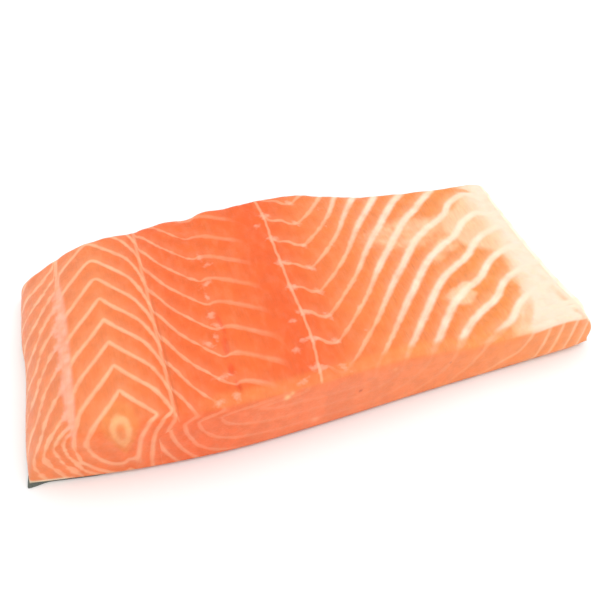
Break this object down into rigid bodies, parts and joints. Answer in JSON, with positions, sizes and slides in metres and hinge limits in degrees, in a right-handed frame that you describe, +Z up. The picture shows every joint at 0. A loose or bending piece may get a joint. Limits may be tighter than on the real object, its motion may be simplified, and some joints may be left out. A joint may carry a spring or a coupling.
{
  "type": "raw salmon fillet",
  "caption": "Rectangular cut of raw salmon side lying on its skin, thick and upright at the back of the fish and tapering to a thin belly edge.",
  "frame": {"origin": "middle of the underside of the bounding box, where the skin lies on the table", "axes": "+X from the back of the fish to its belly, +Y from the near cut to the far cut, +Z up out of the skin"},
  "size_m": [0.1897, 0.0887, 0.0236],
  "materials": {
    "flesh": "moist raw salmon, orange with cream fat lines",
    "skin": "wet grey scaled fish skin"
  },
  "bodies": {
    "root": {"flesh": "flesh", "skin": "skin"}
  },
  "joints": []
}
